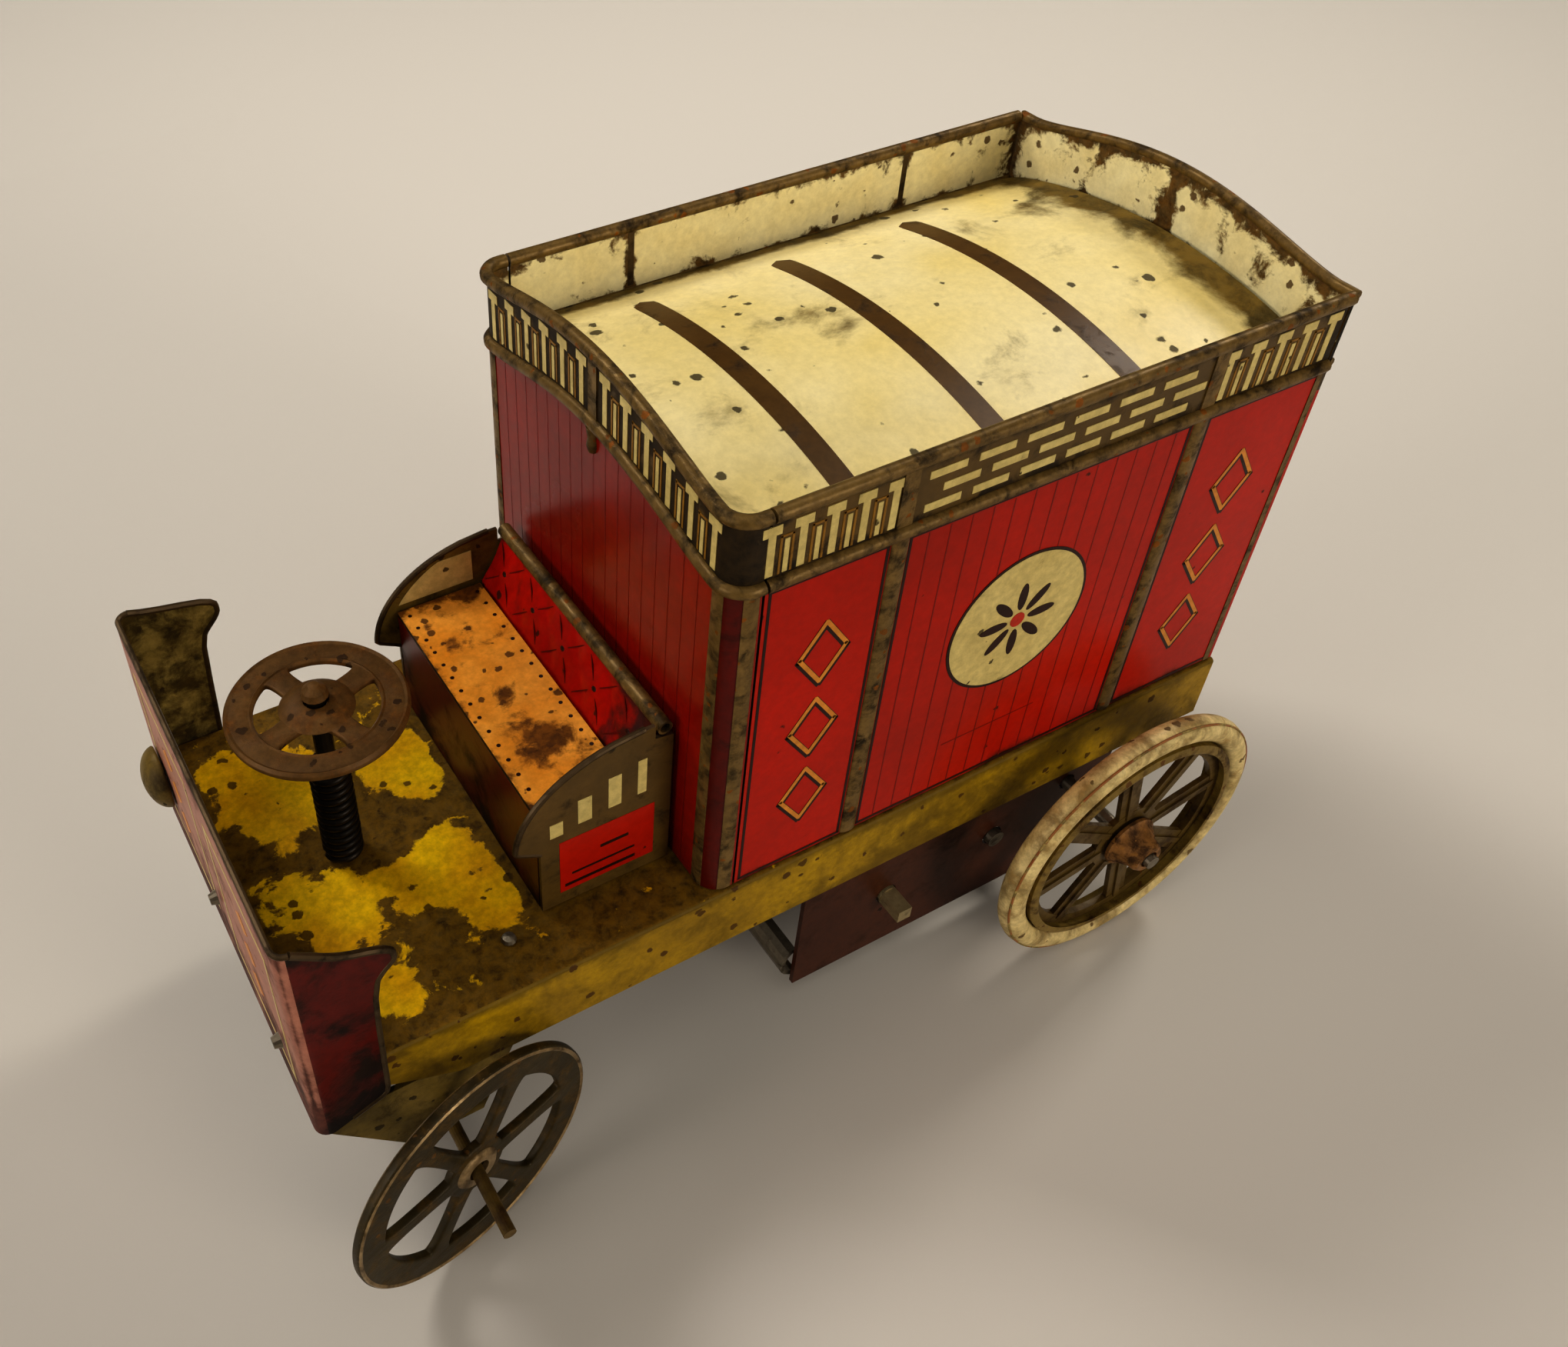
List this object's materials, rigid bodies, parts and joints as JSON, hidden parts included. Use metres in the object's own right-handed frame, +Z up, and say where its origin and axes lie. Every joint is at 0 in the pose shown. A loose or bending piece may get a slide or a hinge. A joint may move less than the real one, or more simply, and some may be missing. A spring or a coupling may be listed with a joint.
{
  "type": "toy delivery van",
  "caption": "Antique style tinplate clockwork toy van: open driver's seat with hand steering ahead of a tall box body with a roof rack and rear doors.",
  "frame": {"origin": "on the ground under the middle of the van's bounding box", "axes": "+X towards the dashboard and steering wheel, +Y towards the van's left side, +Z up"},
  "size_m": [0.1328, 0.0808, 0.0959],
  "materials": {
    "red_litho": "glossy tinplate lithography, aged",
    "dark_red_litho": "glossy tinplate lithography, aged",
    "faded_red_litho": "worn and faded lithography",
    "maroon_paint": "thin stoved paint",
    "ochre_litho": "worn lithography with bare patches",
    "orange_litho": "glossy lithography with brown patches",
    "cream_litho": "aged cream paint",
    "olive_paint": "thin dark paint",
    "copper_wash": "copper coloured wash",
    "rusted_tin": "rusted, little paint left",
    "dull_steel": "dull bare steel",
    "brass": "dull brass"
  },
  "bodies": {
    "van_body": {"chassis_pan": "ochre_litho", "floor_rivet": "dull_steel", "dash_panel": "faded_red_litho", "dash_rivet_left": "dull_steel", "dash_rivet_middle": "dull_steel", "headlamp_right": "olive_paint", "seat_plate": "orange_litho", "seat_front": "dark_red_litho", "seat_back": "red_litho", "seat_side_left": "dark_red_litho", "seat_side_right": "dark_red_litho", "front_wall": "red_litho", "side_wall_left": "red_litho", "side_wall_right": "red_litho", "rear_wall": "red_litho", "roof_panel": "cream_litho", "door_pin_left": "dull_steel", "door_pin_right": "dull_steel", "motor_plate_left": "maroon_paint", "motor_plate_right": "maroon_paint", "motor_brace_front": "dull_steel", "motor_brace_rear": "dull_steel"},
    "left_door": {"door_left": "red_litho"},
    "right_door": {"door_right": "red_litho"},
    "rear_wheels": {"rear_axle": "dull_steel", "axle_pinion": "brass", "rear_wheel_left": "olive_paint", "rear_wheel_right": "olive_paint", "rear_tyre_left": "cream_litho", "rear_tyre_right": "cream_litho", "rear_hub_left": "copper_wash", "rear_hub_right": "copper_wash"},
    "idler": {"idler_gear": "brass", "idler_shaft": "dull_steel"},
    "spring_drive": {"drive_arbor": "dull_steel", "drive_gear": "brass", "mainspring": "dull_steel"},
    "steering": {"front_yoke": "olive_paint", "steering_column": "dull_steel", "steering_wheel": "rusted_tin", "column_cap": "dull_steel", "column_spring": "dull_steel", "front_axle": "dull_steel"},
    "front_wheel": {"front_wheel_left": "rusted_tin"}
  },
  "joints": [
    {"name": "left_door_hinge", "type": "hinge", "parent": "van_body", "child": "left_door", "pos_m": [-0.06525, 0.02105, 0.0592], "axis": [0, 0, 1], "range_deg": [-110, 0]},
    {"name": "right_door_hinge", "type": "hinge", "parent": "van_body", "child": "right_door", "pos_m": [-0.06525, -0.02225, 0.0592], "axis": [0, 0, 1], "range_deg": [0, 110]},
    {"name": "rear_wheels_spin", "type": "hinge", "parent": "van_body", "child": "rear_wheels", "pos_m": [-0.0459, -0.0006, 0.0202], "axis": [0, 1, 0], "continuous": true},
    {"name": "idler_spin", "type": "hinge", "parent": "van_body", "child": "idler", "pos_m": [-0.03366, -0.0006, 0.01607], "axis": [0, 1, 0], "continuous": true},
    {"name": "spring_drive_spin", "type": "hinge", "parent": "van_body", "child": "spring_drive", "pos_m": [-0.016, -0.0006, 0.0146], "axis": [0, 1, 0], "continuous": true},
    {"name": "steering_turn", "type": "hinge", "parent": "van_body", "child": "steering", "pos_m": [0.0485, -0.0006, 0.0372], "axis": [0, 0, 1], "range_deg": [-16, 5]},
    {"name": "front_wheel_spin", "type": "hinge", "parent": "steering", "child": "front_wheel", "pos_m": [0.0485, 0.0314, 0.0167], "axis": [-0.2588, 0.9659, 0], "continuous": true}
  ],
  "couplings": [
    {"joint": "idler_spin", "follows": "rear_wheels_spin", "ratio": -0.6},
    {"joint": "spring_drive_spin", "follows": "rear_wheels_spin", "ratio": 0.5}
  ]
}
